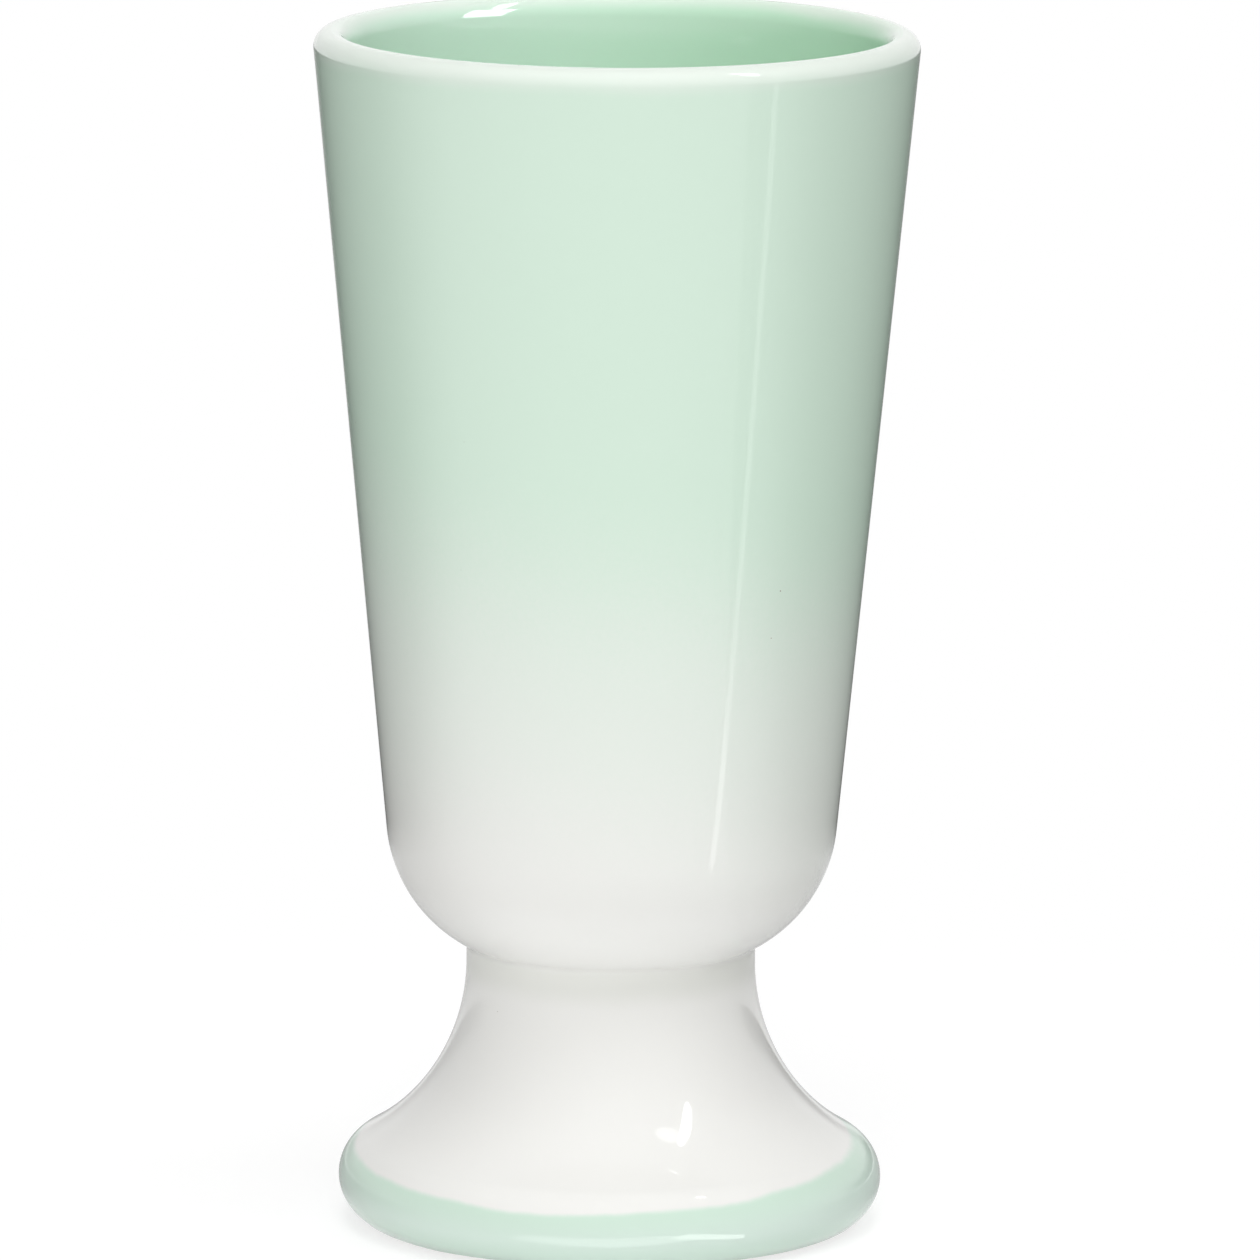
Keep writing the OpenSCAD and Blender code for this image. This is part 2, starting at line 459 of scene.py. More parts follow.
# %% The coat on the flare
flare_skin = swollen(filled(flare_side(0.0), coat_step), 0.0)
flare_grip = even(filled(flare_side(glaze_t), grip_step))
flare_coat = turned_piece("flare_coat", *shell(flare_skin, flare_grip))
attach(flare_coat, "root")
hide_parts("foot_glaze")

# %% [markdown]
# ## The coloured band
#
# The rolled edge is dipped in mint glaze, and its underside is then wiped with a sponge, or the cup would
# stick to the kiln shelf. So the band ends in a soft bead that wanders a little. The arc is cut at
# another angle at each step round the cup, and a half circle closes the bead.

# %% The coloured band
band_points = 40
bead_points = 7
bead_h = 0.15
wipe_depth = 0.25
wipe_waves = ((4, 0.3), (7, 1.9), (11, 3.1), (17, 5.2))


def wiped_edge():
    """Height of the bead at every angle: never under the wiped level, and a mean of cosines above it."""
    waves = [np.cos(k * angles + phase) for k, phase in wipe_waves]
    return bare_h + bead_h + wipe_depth * (1 + np.mean(waves, axis=0)) / 2


def bead(start, stop):
    """Half round from the end of one side of a coat to the end of the other, bulging to its right."""
    middle = (start + stop) / 2
    half = (start - stop) / 2
    out = np.stack([-half[..., 1], half[..., 0]], axis=-1)
    out *= bead_h / np.hypot(half[..., :1], half[..., 1:])
    turn = np.linspace(0, np.pi, bead_points)[1:-1, None, None]
    return middle + np.cos(turn) * half + np.sin(turn) * out


def edge_skin(inset):
    """Down the rolled edge from the band's top to the wiped edge, at every angle."""
    start = edge_angle_at(band_h, inset)
    share = np.linspace(0, 1, band_points)[:, None]
    turn = start + share * (edge_angle_at(wiped_edge(), inset) - start)
    points = foot_edge_c + (foot_edge_r - inset) * polar(turn)
    return points + polar(turn) * (swell(points[..., 1], 0.0) * (inset == 0))[..., None]


band_skin, band_grip = edge_skin(0.0), edge_skin(glaze_t)
band_bead = bead(band_grip[-1], band_skin[-1])
band_outline = np.concatenate([band_skin[::-1], band_grip, band_bead])
band_coat = turned_piece("band_coat", band_outline, (band_points - 1, band_points))
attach(band_coat, "root")
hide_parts("foot_band")

# %% [markdown]
# ## The coat inside the bowl
#
# The inside is filled with mint glaze and poured out again. This shell starts and ends on the axis: out
# along the clay, over the crest, and back down the side that meets the drink. Its swells have another
# phase.

# %% The coat inside the bowl
liner_shift = 1.7
liner_grip = even(filled(drink_side(glaze_t), grip_step))
liner_skin = swollen(filled(drink_side(0.0), coat_step), liner_shift)
liner_outline = np.concatenate([liner_grip[::-1], liner_skin])
liner_coat = turned_piece("liner_coat", liner_outline, (len(liner_grip) - 1, len(liner_grip)))
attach(liner_coat, "root")
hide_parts("liner_glaze")

# %% [markdown]
# ## The coat in the hollow foot
#
# Clear glaze runs over the bowl's underside and down the hollow to the wiped edge beside the standing
# ring. The round edge there is cut at every angle, as the band is.

# %% The coat in the hollow foot
mouth_points = 12


def mouth_skin(inset):
    """Down the round edge of the mouth to the wiped edge, at every angle."""
    radius = hollow_edge_r - inset
    share = np.linspace(0, 1, mouth_points)[1:, None]
    turn = np.pi + share * np.arcsin((hollow_edge_r - wiped_edge()[::-1]) / radius)
    return mouth_c + radius * polar(turn)


hollow_skin = np.concatenate([even(filled(hollow_side(0.0), coat_step)), mouth_skin(0.0)])
hollow_grip = np.concatenate([even(filled(hollow_side(glaze_t), grip_step)), mouth_skin(glaze_t)])
hollow_bead = bead(hollow_skin[-1], hollow_grip[-1])
hollow_coat = turned_piece("hollow_coat", np.concatenate([hollow_skin, hollow_bead, hollow_grip[::-1]]))
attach(hollow_coat, "root")
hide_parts("hollow_glaze")

# %% [markdown]
# ## Writing materials
#
# Shader nodes are easier to read when a line of code makes a node and plugs in all its inputs. A socket
# is linked and a plain value is set. The sums, steps, mixtures and noises below are all that the glazes
# need.

# %% Helpers for shader nodes


def node(tree, kind, inputs=None, **settings):
    """A new node with its settings and inputs."""
    made = tree.nodes.new("ShaderNode" + kind)
    for name, value in settings.items():
        setattr(made, name, value)
    for name, value in (inputs or {}).items():
        if isinstance(value, bpy.types.NodeSocket):
            tree.links.new(value, made.inputs[name])
        else:
            made.inputs[name].default_value = value
    return made


def math(tree, operation, *values, clamp=False):
    """Result of a sum on sockets and numbers."""
    return node(tree, "Math", dict(enumerate(values)), operation=operation, use_clamp=clamp).outputs[0]


def stepped(tree, value, start, stop):
    """Smooth step of a socket from 0 at start to 1 at stop."""
    inputs = {"Value": value, "From Min": start, "From Max": stop}
    return node(tree, "MapRange", inputs, interpolation_type="SMOOTHSTEP").outputs["Result"]


def mixed(tree, share, first, second):
    """Colour between two, by a share."""
    made = node(tree, "Mix", {0: share, 6: first, 7: second}, data_type="RGBA")
    return made.outputs[2]


def noise(tree, place, scale, detail=2.0, roughness=0.5):
    """Soft noise from 0 to 1, with its scale in features per metre."""
    inputs = {"Vector": place, "Scale": scale, "Detail": detail, "Roughness": roughness}
    return node(tree, "TexNoise", inputs).outputs["Fac"]


def object_place(tree):
    """Place on the cup in metres, and its three coordinates."""
    place = node(tree, "TexCoord").outputs["Object"]
    return place, node(tree, "SeparateXYZ", {0: place}).outputs


print("helpers:", ", ".join(f.__name__ for f in (node, math, stepped, mixed, noise, object_place)))

# %% [markdown]
# ## Groups and materials
#
# An effect that several finishes share is a node group: it is built once and placed in each material with
# its own values. These three functions make a group, place it, and make an empty material to place it in.

# %% Helpers for groups and materials


def new_group(name, inputs, outputs):
    """An empty node group with float inputs (name and default) and float outputs."""
    group = bpy.data.node_groups.new(name, "ShaderNodeTree")
    for title, value in inputs.items():
        socket = group.interface.new_socket(title, in_out="INPUT", socket_type="NodeSocketFloat")
        socket.default_value = value
    for title in outputs:
        group.interface.new_socket(title, in_out="OUTPUT", socket_type="NodeSocketFloat")
    return group, group.nodes.new("NodeGroupInput").outputs, group.nodes.new("NodeGroupOutput").inputs


def use_group(tree, group, **inputs):
    """Outputs of a node group placed in a material, with its inputs by name."""
    made = tree.nodes.new("ShaderNodeGroup")
    made.node_tree = group
    for name, value in inputs.items():
        made.inputs[name].default_value = value
    return made.outputs


def new_material(name, viewport):
    """An empty material, its node tree and its output's surface socket."""
    material = bpy.data.materials.new(name)
    material.diffuse_color = viewport
    material.use_nodes = True
    tree = material.node_tree
    tree.nodes.clear()
    return material, tree, tree.nodes.new("ShaderNodeOutputMaterial").inputs["Surface"]


print("helpers:", ", ".join(f.__name__ for f in (new_group, use_group, new_material)))

# %% [markdown]
# ## What all the glazes share
#
# Fired glaze is glossy, with a faint orange peel, a gloss that varies a little, and a colour that is
# denser where the glaze lay thicker. A few pinholes and specks come from dust in the kiln. One node group
# gives all of these as plain values, and every glaze uses them in its own measure.

# %% Node group: fired skin of a glaze
peel_scale = 520.0
drift_scale = 42.0
cloud_scale = 26.0
speck_scale = 150.0
speck_size_scale = 60.0
speck_edge = 0.008
speck_dent = 0.5
gloss_drift = 0.04
peel_share = 0.25

fired_skin, given, out = new_group(
    "fired_skin", {"Gloss": 0.045, "Speck share": 0.030}, ("Roughness", "Relief", "Cloud", "Speck")
)
place, _ = object_place(fired_skin)
peel = noise(fired_skin, place, peel_scale, 1.0)
drift = noise(fired_skin, place, drift_scale, 2.0)
cloud = noise(fired_skin, place, cloud_scale, 3.0, 0.55)
speck_cells = node(fired_skin, "TexVoronoi", {"Vector": place, "Scale": speck_scale})
speck_noise = noise(fired_skin, place, speck_size_scale, 1.0)
speck_size = math(fired_skin, "MULTIPLY", speck_noise, given["Speck share"])
speck_depth = math(fired_skin, "SUBTRACT", speck_size, speck_cells.outputs["Distance"])
speck = stepped(fired_skin, speck_depth, 0.0, speck_edge)
uneven = math(fired_skin, "MULTIPLY_ADD", drift, gloss_drift, -gloss_drift / 2)
fired_skin.links.new(math(fired_skin, "ADD", given["Gloss"], uneven, clamp=True), out["Roughness"])
slow_relief = math(fired_skin, "MULTIPLY", drift, 1 - peel_share)
relief = math(fired_skin, "MULTIPLY_ADD", peel, peel_share, slow_relief)
dents = math(fired_skin, "MULTIPLY", speck, speck_dent)
fired_skin.links.new(math(fired_skin, "SUBTRACT", relief, dents), out["Relief"])
fired_skin.links.new(cloud, out["Cloud"])
fired_skin.links.new(speck, out["Speck"])
print("node group", fired_skin.name)

# %% [markdown]
# ## Where the mint fades
#
# The spray gun was held at the top, so the mint is full there, half gone below the middle, and a last
# breath of it reaches the round bottom. A single ramp would look printed. Two ramps make the long tail, a
# slow noise makes the line wander, and a fine one leaves the dust of single droplets. The fade hangs a
# little lower on one side.

# %% Node group: sprayed fade
fade_lean = 0.16
fade_wander = 0.010
fade_wander_scale = 24.0
fade_dust = 0.006
fade_dust_scale = 1900.0

sprayed_fade, given, out = new_group(
    "sprayed_fade",
    {"Full": 0.100, "Gone": 0.066, "Tail full": 0.072, "Tail gone": 0.040, "Tail share": 0.38},
    ("Amount",),
)
place, (x, y, z) = object_place(sprayed_fade)
level = math(sprayed_fade, "MULTIPLY_ADD", x, fade_lean, z)
wander = math(sprayed_fade, "SUBTRACT", noise(sprayed_fade, place, fade_wander_scale, 2.0), 0.5)
dust = math(sprayed_fade, "SUBTRACT", noise(sprayed_fade, place, fade_dust_scale, 1.0), 0.5)
level = math(sprayed_fade, "MULTIPLY_ADD", wander, fade_wander, level)
level = math(sprayed_fade, "MULTIPLY_ADD", dust, fade_dust, level)
body = stepped(sprayed_fade, level, given["Gone"], given["Full"])
tail = stepped(sprayed_fade, level, given["Tail gone"], given["Tail full"])
tail_part = math(sprayed_fade, "MULTIPLY", tail, given["Tail share"])
body_part = math(sprayed_fade, "MULTIPLY", body, math(sprayed_fade, "SUBTRACT", 1.0, given["Tail share"]))
sprayed_fade.links.new(math(sprayed_fade, "ADD", body_part, tail_part, clamp=True), out["Amount"])
print("node group", sprayed_fade.name)

# %% [markdown]
# ## Where glaze runs thin or gathers, and painted light and shade
#
# Glaze runs off a sharp lip, so the colour is paler there. Painted light makes the white paler under the
# bowl, where the table throws light up, and painted shade darkens the corner of the waist and the low side
# of the rolled edge. All this is a matter of height on a turned cup, so one group gives a soft mask between
# two heights.

# %% Node group: ring of heights
ring_wander = 0.0012
ring_wander_scale = 70.0

height_ring, given, out = new_group(
    "height_ring", {"Start": 0.0, "Rise": 0.01, "Fall": 0.02, "Stop": 0.03}, ("Amount",)
)
place, (x, y, z) = object_place(height_ring)
unsteady = math(height_ring, "SUBTRACT", noise(height_ring, place, ring_wander_scale, 2.0), 0.5)
z = math(height_ring, "MULTIPLY_ADD", unsteady, ring_wander, z)
rise = stepped(height_ring, z, given["Start"], given["Rise"])
fall = stepped(height_ring, z, given["Stop"], given["Fall"])
height_ring.links.new(math(height_ring, "MULTIPLY", rise, fall), out["Amount"])
print("node group", height_ring.name)

# %% [markdown]
# ## Glaze materials
#
# Each glaze is one Principled shader: a coloured body under a clear, glossy surface. The colours are
# mixed from the shared masks. Numbers that are the same all over, such as the index of refraction, stay
# on the shader.

# %% A glaze from a colour
glaze_ior = 1.65
relief_m = 0.00006
relief_strength = 0.35
speck_colour = (0.36, 0.34, 0.28, 1.0)


def finish_glaze(tree, surface, skin, colour):
    """Put the shader of a glossy glaze on a colour, with its specks, its gloss and its relief."""
    speckled = mixed(tree, skin["Speck"], colour, speck_colour)
    relief_inputs = {"Height": skin["Relief"], "Strength": relief_strength, "Distance": relief_m}
    inputs = {
        "Base Color": speckled,
        "Roughness": skin["Roughness"],
        "IOR": glaze_ior,
        "Normal": node(tree, "Bump", relief_inputs).outputs["Normal"],
    }
    tree.links.new(node(tree, "BsdfPrincipled", inputs).outputs["BSDF"], surface)


def denser(tree, skin, amount, depth):
    """An amount of colour that the cloudiness of a glaze makes up to depth more or less."""
    cloudy = math(tree, "MULTIPLY_ADD", skin["Cloud"], 2 * depth, 1 - depth)
    return math(tree, "MULTIPLY", amount, cloudy, clamp=True)


def gathered(tree, colour, thick_colour, share, ring):
    """A colour that goes over to another, by a share, in a ring of heights."""
    amount = use_group(tree, height_ring, **ring)["Amount"]
    return mixed(tree, math(tree, "MULTIPLY", amount, share), colour, thick_colour)


print("glazes have an index of refraction of", glaze_ior)

# %% [markdown]
# ## The glaze on the bowl
#
# White glaze with mint sprayed on it. Heights are in metres above the table. The rings start below and
# end above the stretch that they mark, and those of the lip go on past the top of the cup.

# %% The glaze on the bowl
white_colour = (0.855, 0.852, 0.825, 1.0)
mint_colour = (0.645, 0.812, 0.685, 1.0)
# Greyer white: painted shade at the waist, and glaze gathered at the top of the hollow foot.
pooled_and_shaded_white = (0.77, 0.78, 0.73, 1.0)
# Paler white: painted light under the bowl, where the table throws light up.
painted_light_white = (0.94, 0.94, 0.92, 1.0)
mint_cloud = 0.06
lip_loss = 0.55
# Shares of the painted light under the bowl and of the painted shade at the waist.
underside_light_share = 0.6
waist_share = 0.65
lip_thin = {"Start": 0.1462, "Rise": 0.1494, "Fall": 0.160, "Stop": 0.170}
# Heights of the painted shade at the waist and of the painted light under the bowl.
waist_shade = {"Start": 0.0300, "Rise": 0.0330, "Fall": 0.0343, "Stop": 0.0356}
underside = {"Start": 0.0350, "Rise": 0.0360, "Fall": 0.0390, "Stop": 0.0460}


def ombre_glaze():
    """White glaze with sprayed mint: faded down the bowl, thin on the lip, with painted light under the bowl
    and painted shade at the waist.
    """
    material, tree, surface = new_material("ombre_glaze", mint_colour)
    skin = use_group(tree, fired_skin)
    amount = use_group(tree, sprayed_fade)["Amount"]
    thin = use_group(tree, height_ring, **lip_thin)["Amount"]
    kept = math(tree, "MULTIPLY_ADD", thin, -lip_loss, 1.0)
    amount = denser(tree, skin, math(tree, "MULTIPLY", amount, kept), mint_cloud)
    colour = mixed(tree, amount, white_colour, mint_colour)
    # Painted light under the bowl, then painted shade at the waist.
    colour = gathered(tree, colour, painted_light_white, underside_light_share, underside)
    colour = gathered(tree, colour, pooled_and_shaded_white, waist_share, waist_shade)
    finish_glaze(tree, surface, skin, colour)
    return material


bowl_coat.data.materials.append(ombre_glaze())
print("glaze on the bowl:", bowl_coat.data.materials[0].name)

# %% [markdown]
# ## The glaze inside the bowl
#
# The mint was poured in and out again. It is thin on the lip and pooled in the round bottom, and painted
# shade makes it darker towards the right side of the bowl.

# %% The glaze inside the bowl
# Painted shade: the liner goes from the first colour on the left side to the darker second one on the right.
liner_colour = (0.700, 0.900, 0.765, 1.0)
liner_shade_colour = (0.530, 0.800, 0.590, 1.0)
# Deeper mint: glaze gathered in the bottom of the bowl and in the bead of the band, and painted shade low on
# the rolled edge.
pooled_and_shaded_mint = (0.52, 0.72, 0.57, 1.0)
liner_shade_reach = 0.034
liner_pool_share = 0.5
liner_thin = {"Start": 0.1482, "Rise": 0.1499, "Fall": 0.160, "Stop": 0.170}
liner_pool = {"Start": -0.02, "Rise": -0.01, "Fall": 0.0378, "Stop": 0.044}


def liner_glaze():
    """Mint glaze inside the bowl: thin on the lip, with painted shade darker towards the right."""
    material, tree, surface = new_material("liner_glaze", liner_colour)
    skin = use_group(tree, fired_skin)
    thin = use_group(tree, height_ring, **liner_thin)["Amount"]
    _, (x, y, z) = object_place(tree)
    # Painted shade, darker from left to right across the bowl.
    side_shaded = mixed(tree, stepped(tree, x, -liner_shade_reach, liner_shade_reach), liner_colour, liner_shade_colour)
    amount = denser(tree, skin, math(tree, "MULTIPLY_ADD", thin, -lip_loss, 1.0), mint_cloud)
    colour = mixed(tree, amount, white_colour, side_shaded)
    colour = gathered(tree, colour, pooled_and_shaded_mint, liner_pool_share, liner_pool)
    finish_glaze(tree, surface, skin, colour)
    return material


liner_coat.data.materials.append(liner_glaze())
print("glaze inside the bowl:", liner_coat.data.materials[0].name)

# %% [markdown]
# ## The edge of the band
#
# The foot wasn't held quite straight when it was dipped, so the edge of the mint is tilted. It also
# wanders by half a millimetre and is a little soft, because the two glazes ran into each other, and the
# mint is thickest just under it. The masks are used in the coat on the flare and in the band, so that the
# line where the two pieces meet doesn't show.

# %% Node group: dipped edge
dip_tilt_x = 0.016
dip_tilt_y = 0.080
dip_bead = 0.0045
dip_wander = 0.0009
dip_wander_scale = 55.0
dip_ripple = 0.0003
dip_ripple_scale = 420.0

dipped_edge, given, out = new_group(
    "dipped_edge", {"Level": 0.0105, "Softness": 0.0004}, ("Amount", "Bead")
)
place, (x, y, z) = object_place(dipped_edge)
slow = math(dipped_edge, "SUBTRACT", noise(dipped_edge, place, dip_wander_scale, 1.0), 0.5)
quick = math(dipped_edge, "SUBTRACT", noise(dipped_edge, place, dip_ripple_scale, 2.0), 0.5)
level = math(dipped_edge, "MULTIPLY_ADD", x, dip_tilt_x, given["Level"])
level = math(dipped_edge, "MULTIPLY_ADD", y, dip_tilt_y, level)
level = math(dipped_edge, "MULTIPLY_ADD", slow, dip_wander, level)
level = math(dipped_edge, "MULTIPLY_ADD", quick, dip_ripple, level)
start = math(dipped_edge, "ADD", level, given["Softness"])
stop = math(dipped_edge, "SUBTRACT", level, given["Softness"])
dipped = stepped(dipped_edge, z, start, stop)
thicker = stepped(dipped_edge, z, math(dipped_edge, "SUBTRACT", level, dip_bead), level)
dipped_edge.links.new(dipped, out["Amount"])
dipped_edge.links.new(math(dipped_edge, "MULTIPLY", dipped, thicker), out["Bead"])
print("node group", dipped_edge.name)

# %% [markdown]
# ## The glazes of the foot
#
# Outside, clear glaze lies over white clay and dips into mint, and painted shade darkens the low side of
# the rolled edge and the collar under the waist. In the hollow it is clear all over, and a little greyer
# where it gathered at the top.

# %% The glazes of the foot
band_colour = (0.695, 0.835, 0.752, 1.0)
band_cloud = 0.05
bead_share = 0.5
# Painted shade low on the rolled edge, where it faces the table.
edge_shade_share = 0.20
edge_shade = {"Start": -0.001, "Rise": 0.0012, "Fall": 0.0022, "Stop": 0.0045}
hollow_cloud = 0.3
hollow_pool_share = 0.6
hollow_pool = {"Start": 0.028, "Rise": 0.0335, "Fall": 0.050, "Stop": 0.060}


def foot_glaze(name, viewport):
    """Clear glaze over white clay, dipped in mint up to the band's edge, with painted shade low on the edge
    and at the waist.
    """
    material, tree, surface = new_material(name, viewport)
    skin = use_group(tree, fired_skin)
    dip = use_group(tree, dipped_edge)
    colour = mixed(tree, denser(tree, skin, dip["Amount"], band_cloud), white_colour, band_colour)
    colour = mixed(tree, math(tree, "MULTIPLY", dip["Bead"], bead_share), colour, pooled_and_shaded_mint)
    # Painted shade low on the rolled edge and at the waist.
    colour = gathered(tree, colour, pooled_and_shaded_mint, edge_shade_share, edge_shade)
    colour = gathered(tree, colour, pooled_and_shaded_white, waist_share, waist_shade)
    finish_glaze(tree, surface, skin, colour)
    return material


def hollow_glaze():
    """Clear glaze in the hollow foot, greyer where it gathered at the top."""
    material, tree, surface = new_material("hollow_glaze", white_colour)
    skin = use_group(tree, fired_skin)
    pool = use_group(tree, height_ring, **hollow_pool)["Amount"]
    share = math(tree, "MULTIPLY", denser(tree, skin, pool, hollow_cloud), hollow_pool_share)
    finish_glaze(tree, surface, skin, mixed(tree, share, white_colour, pooled_and_shaded_white))
    return material


flare_coat.data.materials.append(foot_glaze("flare_glaze", white_colour))
band_coat.data.materials.append(foot_glaze("band_glaze", band_colour))
hollow_coat.data.materials.append(hollow_glaze())
print("glazes:", [m.name for m in bpy.data.materials if "glaze" in m.name])

# %% [markdown]
# ## Bare clay and slip
#
# Under the glazes the packed clay stays as it is. It is matt and finely grained, with slow blotches in
# its colour. The slip in the joint is the same clay, brushed on wet, so it is coarser and has streaks
# round the cup. One node group serves both.

# %% Node group: fired clay
blotch_scale = 70.0
clay_roughness = 0.52
grain_roughness = 0.25

fired_clay, given, out = new_group(
    "fired_clay", {"Grain": 2400.0, "Streak": 1.0}, ("Grain", "Blotch", "Roughness")
)
place, _ = object_place(fired_clay)
stretch = node(fired_clay, "CombineXYZ", {0: 1.0, 1: 1.0, 2: given["Streak"]}).outputs[0]
streaked = node(fired_clay, "VectorMath", {0: place, 1: stretch}, operation="MULTIPLY").outputs[0]
grain = noise(fired_clay, streaked, given["Grain"], 4.0, 0.6)
blotch = noise(fired_clay, streaked, blotch_scale, 3.0)
fired_clay.links.new(grain, out["Grain"])
fired_clay.links.new(blotch, out["Blotch"])
matt = math(fired_clay, "MULTIPLY_ADD", grain, grain_roughness, clay_roughness)
fired_clay.links.new(matt, out["Roughness"])
print("node group", fired_clay.name)

# %% [markdown]
# ## Clay materials
#
# Of the clay only the standing ring shows, from below: white porcelain, rubbed grey where it has slid
# over tables. The bowl and the slip are hidden, and have their materials for when the cup is taken apart.

# %% Materials of the clay and the slip
clay_colour = (0.80, 0.77, 0.70, 1.0)
clay_shade = (0.70, 0.66, 0.58, 1.0)
rubbed_colour = (0.48, 0.47, 0.45, 1.0)
slip_colour = (0.74, 0.70, 0.61, 1.0)
slip_shade = (0.62, 0.57, 0.48, 1.0)
grain_m = 0.00012
grain_strength = 0.5
rubbed_grain = (0.40, 0.62)
rubbed_share = 0.7


def clay_material(name, colour, shade, rubbed_h=None, **measures):
    """Matt clay between two colours, with grain in its relief and grey rubbing under a height."""
    material, tree, surface = new_material(name, colour)
    clay = use_group(tree, fired_clay, **measures)
    tint = mixed(tree, clay["Blotch"], colour, shade)
    if rubbed_h is not None:
        _, (x, y, z) = object_place(tree)
        proud = stepped(tree, clay["Grain"], *rubbed_grain)
        worn = math(tree, "MULTIPLY", stepped(tree, z, rubbed_h, 0.0), proud)
        tint = mixed(tree, math(tree, "MULTIPLY", worn, rubbed_share), tint, rubbed_colour)
    bump = node(tree, "Bump", {"Height": clay["Grain"], "Strength": grain_strength, "Distance": grain_m})
    inputs = {"Base Color": tint, "Roughness": clay["Roughness"], "Normal": bump.outputs["Normal"]}
    tree.links.new(node(tree, "BsdfPrincipled", inputs).outputs["BSDF"], surface)
    return material


def dress(name, material):
    """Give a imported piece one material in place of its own."""
    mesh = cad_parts[name].data
    mesh.materials.clear()
    mesh.materials.append(material)


dress("bowl", clay_material("bowl_clay", clay_colour, clay_shade))
dress("foot", clay_material("foot_clay", clay_colour, clay_shade, rubbed_h=0.0003))
dress("slip_joint", clay_material("joint_slip", slip_colour, slip_shade, Grain=1300.0, Streak=6.0))
print("clay materials:", [m.name for m in bpy.data.materials if "clay" in m.name or "slip" in m.name])

# %% [markdown]
# ## White paper
#
# The cup stands on a white table. The camera and shiny surfaces see it as white paper that keeps the
# cup's soft shadow near the foot, and for all other light it is an ordinary pale floor, so it doesn't add
# light to the cup. From below it is left out.

# %% White paper
white = (1.0, 1.0, 1.0, 1.0)
floor_colour = (0.92, 0.92, 0.92, 1.0)
shown_floor_colour = (0.30, 0.30, 0.30, 1.0)
shown_floor_light = 0.76
shade_near, shade_far = 0.05, 0.20


def seen_directly(tree):
    """1 for what the camera sees, straight or in a reflection or through glass, and 0 for other light."""
    path = node(tree, "LightPath").outputs
    mirror = math(tree, "MAXIMUM", path["Is Glossy Ray"], path["Is Transmission Ray"])
    return math(tree, "MAXIMUM", path["Is Camera Ray"], mirror)


def paper_white():
    """Floor that is white to the eye, shaded near the cup only, pale to the light and clear from below."""
    material, tree, surface = new_material("paper_white", white)
    plain = node(tree, "BsdfDiffuse", {"Color": floor_colour}).outputs[0]
    shaded = node(tree, "BsdfDiffuse", {"Color": shown_floor_colour}).outputs[0]
    glow = node(tree, "Emission", {"Color": white, "Strength": shown_floor_light}).outputs[0]
    near = node(tree, "AddShader", {0: shaded, 1: glow}).outputs[0]
    far = node(tree, "Emission", {"Color": white, "Strength": 1.0}).outputs[0]
    place, _ = object_place(tree)
    reach = node(tree, "VectorMath", {0: place}, operation="LENGTH").outputs["Value"]
    away = stepped(tree, reach, shade_near, shade_far)
    shown = node(tree, "MixShader", {0: away, 1: near, 2: far}).outputs[0]
    top = node(tree, "MixShader", {0: seen_directly(tree), 1: plain, 2: shown}).outputs[0]
    clear = node(tree, "BsdfTransparent", {"Color": white}).outputs[0]
    behind = node(tree, "NewGeometry").outputs["Backfacing"]
    both = node(tree, "MixShader", {0: behind, 1: top, 2: clear})
    tree.links.new(both.outputs[0], surface)
    return material


paper = paper_white()
print("floor material:", paper.name)

# %% [markdown]
# ## Floor
#
# The floor is a flat ring, open under the foot so that the hollow there can be looked at. The same grid
# of turns and radii makes the cards further down.

# %% Floor
floor_r = 1.5
floor_turns = 97
floor_hole = 0.0284
floor_drop = 0.00005


def flat_sheet(name, corners, faces, material):
    """A stage object from a few corners in metres."""
    mesh = bpy.data.meshes.new(name)
    mesh.from_pydata(corners, [], faces)
    mesh.materials.append(material)
    sheet = bpy.data.objects.new(name, mesh)
    bpy.context.scene.collection.objects.link(sheet)
    return sheet


def ring_grid(turn, radius, height):
    """Corners and faces of a grid round the axis, from turns off the camera's side, radii and heights."""
    corners = np.stack([radius * np.sin(turn), -radius * np.cos(turn), np.full_like(turn, height)], axis=-1)
    rows, columns = turn.shape
    first = (np.arange(rows - 1)[:, None] * columns + np.arange(columns - 1)).ravel()
    faces = np.stack([first, first + columns, first + columns + 1, first + 1], axis=-1)
    return corners.reshape(-1, 3).tolist(), faces.tolist()


turn, radius = np.meshgrid(np.linspace(0, 2 * np.pi, floor_turns), np.array([floor_hole, floor_r]))
flat_sheet("floor", *ring_grid(turn, radius, -floor_drop), paper)
print("floor", 2 * floor_r, "m across")

# %% [markdown]
# ## Light
#
# Soft boxes on the left, in front and overhead do most of the work, weaker ones on the right and behind
# fill the sides, and one below the table lights the hollow of the foot. They stand for a white room, so
# shiny surfaces don't show them and see plain white in their place.

# %% Light
world_light = 0.09
lamp_aim = Vector((0.0, 0.0, 0.08))
lamp_far = 2.0
box_size = (0.95, 0.95)


def soft_box(name, turn, rise, far, size, watts, roll=0.0, shape="RECTANGLE"):
    """A flat lamp that faces the cup, at a turn from the camera's side and a rise, in degrees.

    Glossy glazes don't show it and see the white studio there instead.
    """
    turn, rise = np.radians((turn, rise))
    away = Vector((np.cos(rise) * np.sin(turn), -np.cos(rise) * np.cos(turn), np.sin(rise)))
    light = bpy.data.lights.new(name, "AREA")
    light.shape = shape
    light.size, light.size_y = size
    light.energy = watts
    lamp = bpy.data.objects.new(name, light)
    lamp.matrix_world = looking_matrix(lamp_aim + far * away, lamp_aim, roll)
    lamp.visible_glossy = False
    bpy.context.scene.collection.objects.link(lamp)
    return lamp


